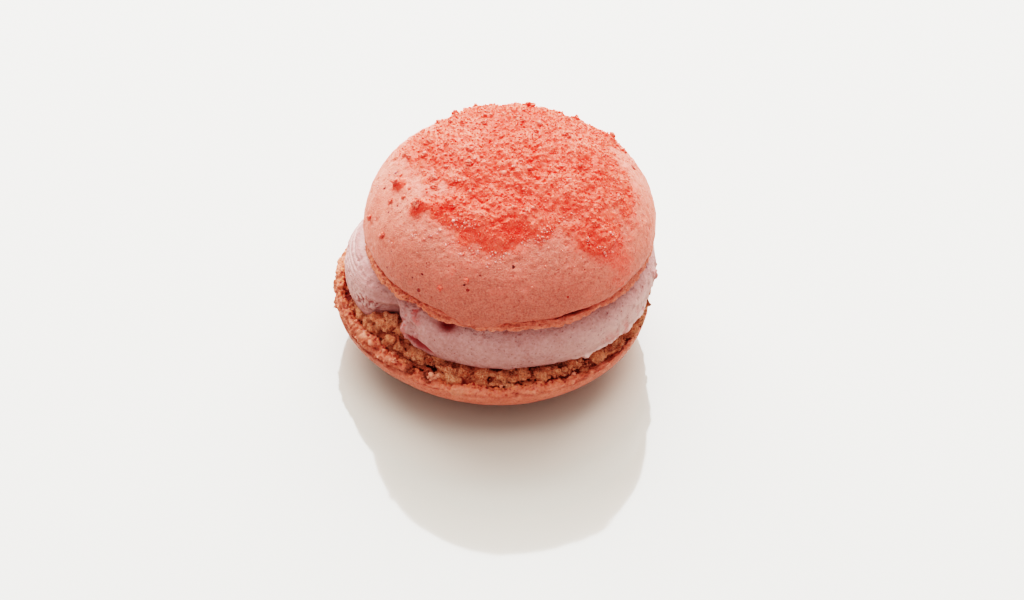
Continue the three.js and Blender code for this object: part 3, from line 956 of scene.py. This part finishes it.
def skin_flecks():
    """Flecks of fruit skin baked into the top, flat against it: the ones given, and smaller ones at random
    where no sugar lies."""
    draw = dice(75)
    few = draw.uniform(-33, 33, (70, 2))
    bare = patches_at(DUSTED, few[:, 0], few[:, 1]) < 0.35
    few = few[(np.hypot(few[:, 0], few[:, 1]) < 33) & bare]
    few = np.column_stack([few, draw.uniform(0.18, 0.4, len(few)), draw.uniform(0, 1, len(few))])
    x, y, sizes, red = np.concatenate([FLECKS, few]).T
    points, normals = dome_at(x, y)
    points = points + normals * skin_relief(points)[:, None]
    sizes = 1.25 * sizes
    return lump_piece("skin_flecks", points, sizes, normals, FRUIT, {"rise": red}, 9, 6, 0.12, 75, flat=0.3)


# ---------------- cream


def cream_radius(azimuth, share):
    """Radius of the cream's side: a ring, a bulge at the left, drawn in above and below its widest level,
    and cut by a cleft that is gentle on the bulge's side and sharp on the other."""
    ring = CREAM["radius"] + waves(azimuth, CREAM["outline"]) + humps(azimuth, CREAM["bulge"])
    off = abs(share - CREAM["widest_share"]) / (1 - CREAM["widest_share"])
    drawn_in = CREAM["drawn_in"] * off ** CREAM["bulge_power"]
    middle = CREAM["cleft"] - 5 * share + 1.3 * np.sin(11 * share + 1) + 0.7 * np.sin(25 * share)
    cleft = hump(azimuth, middle, 24 - 10 * share, 7 - 3 * share)
    return ring - drawn_in - (9.5 - 6.5 * share) * cleft


def cream_levels(azimuth, low):
    """Radii and heights of the cream's rings: a flat underside, the side in 84 levels from its lower edge to
    its top, and the upper face, all rounded by six passes of smoothing."""
    shares = np.linspace(0, 1, 84)[:, None]
    top = CREAM["top"]
    side = cream_radius(azimuth, shares)
    under = [(20, CREAM["base"] + 0.2), (side[0] - 1.2, low), (side[0], low)]
    low_radius, low_height = trace(under, (3, 6))
    over = [(side[-1], top), (side[-1] - 1.5, top + 0.25), (20, CREAM["middle_top"])]
    high_radius, high_height = trace(over, (6, 3))
    radii = np.concatenate([low_radius[:-1], side, high_radius[1:]])
    heights = np.concatenate([low_height[:-1], low + (top - low) * shares, high_height[1:]])
    return smoothed(radii, 6), smoothed(heights, 6)


def cream_filling():
    """The piped ring. Its relief is soft lumps and burst bubbles, ribs across the bulge, a ragged end at the
    cleft with a scoop, a gash and a pocket torn out of it, a broken patch on the bulge, and at the right a
    thin fringe over the lower edge and tufts. share is the height from 0, the base, to 1, the top."""
    azimuth = azimuths(820)
    base, top = CREAM["base"], CREAM["top"]
    low = base + humps(azimuth, *CREAM["base_humps"])
    radii, heights = cream_levels(azimuth, low)
    rings = rings_of(radii, heights, azimuth, CREAM["centre"])
    degrees = np.degrees(azimuth) + 0 * radii
    share = (heights - base) / (top - base)
    soft = layered(rings, (0.35, 7, 41, 3), (0.16, 1.8, 42, 3)) - 0.22 * pits(rings, 1.5, 0.22, 49)
    end = hump(azimuth, 227, 9) + 0 * radii
    ragged = end * (layered(rings, (0.9, 2.4, 43, 4)) + 0.3 * ridges(rings, 1.8, 52) - 0.25)
    lobe = hump(azimuth, 180, 34, 32) * ramp(share, 0.25, 0.7)
    ribs = 0.16 * lobe * np.sin(heights * 6.5 + 0.12 * degrees + layered(rings, (2.5, 6, 44, 2)))
    patch = hump(azimuth, 202, 10) * bell(share, 0.4, 0.2)
    holes = pebbles(bent(rings, 1.0, 0.3, 50), 0.8, 45)
    torn_patch = patch * ramp(1 - holes, 0.1, 0.5)
    scoop = bell(degrees, 229 - 10 * (share - 0.6), 3.5) * bell(share, 0.62, 0.16)
    gash = bell(degrees, 233 - 24 * (share - 0.25), 4.6, power=4) * bell(share, 0.27, 0.09)
    pocket = bell(degrees, 243.5, 3.2) * bell(share, 0.95, 0.11)
    line = 0.11 + layered(rings * (1, 1, 0), (0.03, 3, 56, 2))
    fringe = hump(azimuth, 330, 38, 36) ** 0.5 * bell((heights - low) / (top - low), line, 0.04)
    fringe = fringe * (0.75 + layered(rings, (0.9, 1.6, 51, 3)))
    tufts = hump(azimuth, 352, 13) * bell(share, 0.5, 0.25) * blotches(rings, 1.4, 55, 3, 0, 0.5)
    drip = bell(degrees, 303, 1.3) * bell(share, 0.02, 0.1)
    relief = soft + ragged + ribs - 0.45 * torn_patch - 0.7 * scoop - 1.7 * gash - 2.4 * pocket
    relief += fringe + drip + 0.8 * tufts
    tilted = rings + rings[..., 2:] * np.array([0.5, 0.5, 0])
    streaks = 0.8 * blotches(tilted, (1.4, 1.4, 5), 46, 3, 0.05, 0.45) * hump(azimuth, 330, 42)
    streaks = streaks * ramp(-share, -0.6, -0.2) + blotches(rings, 1.5, 48, 4, 0.1, 0.4) * end
    edge = ramp(-share, -0.12, 0.02) * blotches(rings, 1.2, 47, 2, 0.1, 0.5)
    holed = end * pits(bent(rings, 2.0, 0.6, 53), 1.2, 0.35, 54)
    lit = 0.6 * hump(azimuth, 322, 45) * ramp(-share, -0.95, -0.55)
    lit = lit + 0.8 * lobe * ramp(np.sin(heights * 6.5), 0.2, 1)
    # The pale mask is painted highlight: the lit right side and rib crests, the fringe, the drip and the
    # raised parts of the broken patch. The pocket in the torn mask, under the foot, is painted shade.
    masks = {"torn": np.clip(0.8 * torn_patch + 2.6 * gash + 1.6 * pocket + 0.7 * holed, 0, 1),
             "streak": np.clip(streaks + 0.5 * edge + 0.8 * tufts, 0, 1),
             "pale": np.clip(lit + 0.9 * patch * ramp(holes, 0.6, 0.9) + 2.2 * fringe + drip, 0, 1.3)}
    return ring_piece("cream", pushed(rings, relief), PINK, masks)


# ---------------- baked crumb


def bottom_radius(azimuth):
    """Radius of the lower shell at its widest level: a ring and the waves of its outline."""
    return BOTTOM["radius"] + waves(azimuth, BOTTOM["outline"])


def rim_height(azimuth):
    """Height of the lower shell's lip, higher at the left and dipped at the front left."""
    return BOTTOM["rim"] + waves(azimuth, BOTTOM["rim_rise"]) + humps(azimuth, BOTTOM["dip"])


def crumb_top(radius, azimuth):
    """Height of the crumb's upper face: sunk at the left, a little higher at the right, with a heap shaped
    exp(-d^2) in the cream's cleft."""
    heap = CRUMB["heap"]
    turn = math.radians(heap["azimuth"])
    x = radius * np.cos(azimuth) - heap["radius"] * math.cos(turn)
    y = radius * np.sin(azimuth) - heap["radius"] * math.sin(turn)
    heaped = heap["height"] * bell(np.hypot(x, y), 0, heap["spread"])
    return CRUMB["top"] + humps(azimuth, *CRUMB["top_humps"]) + heaped


def crumb_edge(azimuth):
    """Radius of the crumb's side and height of its lower edge: over the shell's rim where it is spilled."""
    spilled = hump(azimuth, 345, 95)
    side = bottom_radius(azimuth) - CRUMB["wall"] + 0.9 + 2.9 * spilled
    inside = CRUMB["top"] - 1.5
    return side, inside + (rim_height(azimuth) + 0.5 - inside) * spilled


def crumb_lumps(points):
    """Relief of packed crumbs, broken chips over smaller ones, from 0 to about 1, with each chip's number and
    how high a place is in its colour, low along the edges of chips, where it paints shade."""
    crooked = bent(points, 1.5, 0.5, 55)
    large, kind, inside = chips(crooked, 3.9, 51)
    middle, _, within = chips(crooked, 1.8, 52)
    rise = 0.62 * large + 0.27 * middle + 0.07 * pebbles(points, 0.8, 56) + 0.09 * ridges(points, 1.9, 53)
    return rise, kind, rise * (0.1 + 0.9 * inside + 0.4 * within)


def crumb_layer():
    """The bed of crumb: underside, wall against the shell, shelf over its rim, shoulder and upper face. Its
    lumps and swells show round the shoulder and fade under the cream. A recess runs along the shelf. Its
    colour holds painted shade in the recess, between the lumps, at the left and at the front, and painted
    light on the heap."""
    azimuth = azimuths(1150)
    side, shelf = crumb_edge(azimuth)
    floor = BOTTOM["floor"] + 0.3
    wall = bottom_radius(azimuth) - CRUMB["wall"]
    tops = [(side - inset, crumb_top(side - inset, azimuth)) for inset in (1.4, 3.2, 5.5, 8.5)]
    points = [(24, floor), (wall - 2.6, floor), (wall - 0.3, floor + 1.6), (wall + 2.2, shelf - 0.9),
              (side, shelf), (side - 0.3, crumb_top(side, azimuth) - 0.5), *tops, (18, CRUMB["top"])]
    radii, heights = trace(points, (2, 3, 8, 6, 12, 9, 11, 10, 6, 3), smoothing=3)
    rings = rings_of(radii, heights, azimuth)
    rise, kind, tone = crumb_lumps(rings)
    shown = ramp(radii, side - 8, side - 5) * ramp(heights, floor + 0.3, floor + 1.5)
    shown = shown * (1 + 0.2 * hump(azimuth, 350, 45))
    recess = ramp(heights, shelf - 0.6, shelf) * (1 - ramp(heights, shelf + 0.4, shelf + 1.1))
    recess = recess * blotches(rings, 4, 57, 3, -0.4, 0.4)
    relief = (2.9 * rise - 1.5 + layered(rings, (0.8, 5, 54, 2))) * shown - 0.4 * recess
    # Painted shade at the left and the front, painted light on the heap; the recess is darkened as painted
    # shade.
    painted_light = humps(azimuth, (0.22, 214, 16), (-0.5, 192, 24, 14), (-0.1, 275, 45))
    masks = {"rise": tone * 1.75 - 0.18 - 0.5 * recess + painted_light, "kind": kind}
    return ring_piece("crumb_bed", pushed(rings, relief), BAKED, masks)


def loose_crumbs(name, count, size, seed, steps, levels, rough, knobs=None):
    """Loose crumbs along the crumb's shoulder, a third of them on its side, and over the heap, one mesh.
    Those without knobs are faceted."""
    draw = dice(seed)
    azimuth = draw.uniform(0, 2 * math.pi, count)
    heaped = draw.uniform(0, 1, count) < 0.16
    azimuth[heaped] = np.radians(CRUMB["heap"]["azimuth"] - 3 + draw.normal(0, 7, heaped.sum()))
    side, shelf = crumb_edge(azimuth)
    radius = side - draw.uniform(-0.2, 4.0, count)
    height = crumb_top(radius, azimuth) - 0.2 + draw.uniform(-0.2, 0.25, count) + 0.5 * heaped
    sizes = size * draw.lognormal(0, 0.35, count)
    low = draw.uniform(0, 1, count) < 0.35
    radius = np.where(low, side + 0.2 - 0.35 * sizes, radius)
    height = np.where(low, shelf + draw.uniform(0, 1, count) * (CRUMB["top"] - shelf), height)
    centres = rings_of(radius, height, azimuth)
    masks = {"rise": draw.uniform(0.5, 1, count),
             "kind": np.clip(draw.uniform(0, 1, count) + 0.3 * heaped, 0, 1)}
    smooth = knobs is not None
    return lump_piece(name, centres, sizes, UP, BAKED, masks, steps, levels, rough, seed, 0.7, knobs, smooth)


# Bits of shell and dark lumps lying among the crumb: azimuth, radius, height, size across.
FLAKES = [
    (247.8, 36.4, 15.7, 1.7), (249.5, 35.7, 16.0, 1.1), (225, 35.9, 16.6, 0.8), (231, 36.2, 15.9, 1.1),
    (204, 35.6, 16.4, 0.8), (274, 36.2, 15.1, 0.7), (302, 36.9, 14.8, 0.9), (30, 36.5, 15.6, 1.0),
    (75, 36.2, 15.9, 0.9), (120, 36.0, 16.4, 1.1), (150, 35.8, 16.8, 0.8),
]
DARK_LUMPS = [
    (309.2, 36.3, 15.6, 2.2), (245, 35.3, 15.2, 2.4), (238, 35.9, 15.2, 1.8), (95, 35.4, 16.6, 1.8),
]


def stray_bits(name, spots, material, masks, seed):
    """Craggy bits lying at the places given, each a knot of small crumbs, one mesh."""
    draw = dice(seed)
    spots = np.array(spots)
    spots = np.repeat(spots, (10 * spots[:, 3] ** 2).astype(int) + 6, axis=0)
    turn, radius, height, across = spots.T
    centres = rings_of(radius, height, np.radians(turn))
    centres = centres + spots[:, 3:] * draw.normal(0, 0.22, centres.shape)
    sizes = 0.5 * across ** 0.5 * draw.lognormal(0, 0.3, len(spots))
    masks = {mask: draw.uniform(0.6, 1.2, len(spots)) * value for mask, value in masks.items()}
    return lump_piece(name, centres, sizes, UP, material, masks, 7, 4, 0.25, seed, 0.8)


# ---------------- bottom shell


def bottom_levels(radius, rim):
    """Radii and heights of the lower shell's rings: the flat spot, a superellipse up to the widest level, and
    the rim over to the hollow's floor."""
    widest, floor = BOTTOM["widest"], BOTTOM["floor"]
    flat = BOTTOM["rest_radius"] / radius
    depth = (1 - flat ** BOTTOM["power"]) ** (1 / BOTTOM["power"])
    last = np.arccos(flat ** (BOTTOM["power"] / 2))
    across, up = superellipse(last * np.linspace(1, 0, 56, endpoint=False)[:, None], BOTTOM["power"])
    flat_radius = np.linspace(2, BOTTOM["rest_radius"], 5, endpoint=False)[:, None] + 0 * radius
    points = [(radius, widest), (radius - 0.35, widest + 0.7), (radius + 0.1, widest + 0.55 * (rim - widest)),
              (radius - 0.5, rim), (radius - 2.0, rim + 0.1), (radius - 3.2, floor + 1.4),
              (radius - 6, floor), (20, floor)]
    rim_radius, rim_level = trace(points, (6, 14, 12, 10, 10, 3, 2), smoothing=2)
    radii = np.concatenate([flat_radius, radius * across, rim_radius])
    return radii, np.concatenate([0 * flat_radius, widest * (1 - up / depth), rim_level])


def bottom_shell():
    """The lower shell, smooth below and broken round its lip: packed crumbs, strata, burst bubbles and fine
    ridges, and at the front left, where it is broken off, flaps over a groove. The lip is baked browner
    inside and where it is toasted. Its low places are darkened with painted shade and its ridges are pale,
    partly as painted highlights, and its left side is made darker and browner with painted shade."""
    azimuth = azimuths(760)
    radius = bottom_radius(azimuth)
    round_rim = rings_of(35, 0, azimuth)
    rim = rim_height(azimuth) + 1.3 * abs(fractal(round_rim, 4.5, 68, 4, 0.65)) - 0.2
    rim = rim + hump(azimuth, 224, 16) * fractal(round_rim, 2.2, 69, 3)
    radii, heights = bottom_levels(radius, rim)
    rings = rings_of(radii, heights, azimuth)
    widest = BOTTOM["widest"]
    lip = ramp(heights, widest - 0.5, widest + 1.2) * ramp(radii, radius - 6, radius - 3.5)
    inner = ramp(-radii, -(radius - 0.4), -(radius - 1.6))
    broken_off = hump(azimuth, 222, 30, 22)
    crumbs = pebbles(rings, (2.6, 2.6, 1.1), 61)
    strata = 1 - 2 * abs(noise(rings, (5, 5, 0.9), 63))
    burst = ramp(pebbles(rings, 0.9, 62), 0.75, 1)
    flaps = ridges(bent(rings, 3.0, 0.8, 91), (3.2, 3.2, 1.8), 92)
    level = 13.9 + layered(round_rim, (0.7, 5, 94, 3))
    groove = broken_off * bell(heights, level, 0.45) * ramp(radii, radius - 1.5, radius - 0.5)
    ragged = 0.45 * (crumbs - 0.6) + 0.45 * strata - 0.35 * burst + layered(rings, (0.7, 3.0, 64, 4))
    ragged += 0.35 * ridges(rings, 1.4, 67) + broken_off * (1.2 * flaps - 0.5) - groove
    relief = layered(rings, (0.2, 14, 65, 2), (0.08, 2.2, 66, 3)) * ramp(heights, 0, 2.5)
    toasted = lip * blotches(rings, 2.0, 93, 3, -0.15, 0.3) * (0.6 + 0.5 * inner + 0.5 * broken_off)
    # Pale flake edges on the ridges, partly painted highlights, fewer at the left.
    pale_and_highlight = 0.35 + 0.25 * broken_off - 0.3 * hump(azimuth, 194, 20)
    pale_and_highlight = pale_and_highlight * ramp(ragged, 0.3, 0.9) * blotches(rings, 0.9, 95, 4, -0.15, 0.25)
    # Painted shade: the left side darker, more on the inner lip, and browner through the baked mask.
    shaded = hump(azimuth, 206, 40) * (0.16 + 0.25 * inner * lip)
    left = 0.6 * hump(azimuth, 202, 54)
    # In hollow, painted shade where the lip's relief is low, and at the left.
    masks = {"baked": np.clip(0.2 + 0.55 * toasted + 0.5 * inner * lip + groove + left, 0, 1),
             "pale_and_highlight": pale_and_highlight * lip,
             "hollow": np.clip((0.1 - 0.9 * ragged) * lip, 0, 1) + shaded,
             "porous": lip * (0.3 + 0.7 * inner)}
    return ring_piece("lower_shell", pushed(rings, relief * (1 - lip) + ragged * lip), BASE, masks)


# ---------------- stage


def floor():
    """A square four metres across under the macaron."""
    corners = [(-2, -2, 0), (2, -2, 0), (2, 2, 0), (-2, 2, 0)]
    return make_mesh("floor", np.array(corners) / MM, [(0, 1, 2, 3)], floor_finish())


def lamp(name, place, target, size, power):
    """A soft rectangular light, wide by high in metres, turned to the target and itself unseen."""
    light = bpy.data.lights.new(name, "AREA")
    light.shape = "RECTANGLE"
    light.size, light.size_y = size
    light.energy = power
    holder = bpy.data.objects.new(name, light)
    holder.location = place
    aim = np.array(target) - np.array(place)
    holder.rotation_euler = (math.atan2(np.hypot(aim[0], aim[1]), -aim[2]), 0, math.atan2(-aim[0], aim[1]))
    holder.visible_camera = False
    bpy.context.collection.objects.link(holder)


def camera(place, tilt, lens):
    """A camera in front, looking down: tilt is its angle from straight down, in degrees."""
    view = bpy.data.cameras.new("camera")
    view.sensor_width = 36
    view.lens = lens
    holder = bpy.data.objects.new("camera", view)
    holder.location = place
    holder.rotation_euler = (math.radians(tilt), 0, 0)
    bpy.context.collection.objects.link(holder)
    bpy.context.scene.camera = holder


def surroundings(strength, colour):
    """An even light from all round."""
    world = bpy.data.worlds.new("studio")
    world.use_nodes = True
    background = world.node_tree.nodes["Background"].inputs
    background[0].default_value = colour
    background[1].default_value = strength
    bpy.context.scene.world = world


# ---------------- the macaron


def keep(piece, node):
    """Hands a piece over: it rides on the whole and stands in for a solid if it shows one."""
    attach(piece, "root")
    if node:
        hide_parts(node)


keep(top_crust(), "top_shell")
keep(top_foot(), "top_shell")
keep(cream_filling(), "cream_filling")
keep(crumb_layer(), "crumb_layer")
keep(bottom_shell(), "bottom_shell")
keep(sugar_drifts(), None)
keep(sugar_grains("coral_grains", 2000, thickly, 71, 0.4, GRAIN_SUGAR), None)
keep(sugar_grains("pink_grains", 5600, widely, 72, 0.34, PINK_SUGAR), None)
# The bright and glint grains are pale grains, painted highlights for sparkles and glints.
keep(sugar_grains("bright_grains", 500, thickly, 78, 0.25, GLINT_SUGAR), None)
keep(sugar_grains("glint_grains", 200, at_front_edge, 73, 0.32, GLINT_SUGAR), None)
keep(sugar_clumps(), None)
keep(glint_rows(), None)
keep(skin_flecks(), None)
keep(loose_crumbs("large_crumbs", 130, 2.4, 81, 17, 12, 0.05, (0.9, 69)), None)
keep(loose_crumbs("small_crumbs", 380, 1.2, 82, 8, 5, 0.2, (0.4, 70)), None)
keep(loose_crumbs("fine_crumbs", 1300, 0.5, 83, 5, 2, 0.3), None)
keep(stray_bits("shell_flakes", FLAKES, BASE, {"pale_and_highlight": 0.6, "porous": 0.4}, 84), None)
keep(stray_bits("dark_lumps", DARK_LUMPS, BAKED, {"rise": 0.3, "kind": 0.2}, 85), None)

floor()
camera((0.00514, -0.52799, 0.4696), tilt=49, lens=100)
surroundings(0.45, (1.0, 0.985, 0.96, 1))
lamp("window", (-0.02, 0.85, 0.8), (0, 0, 0.03), (2.0, 1.1), 23)
lamp("ceiling", (0, 0.1, 1.1), (0, 0, 0.03), (1, 1), 4)
view = bpy.context.scene.view_settings
view.view_transform = "Filmic"
view.look = "Very High Contrast"
view.exposure = 0.7
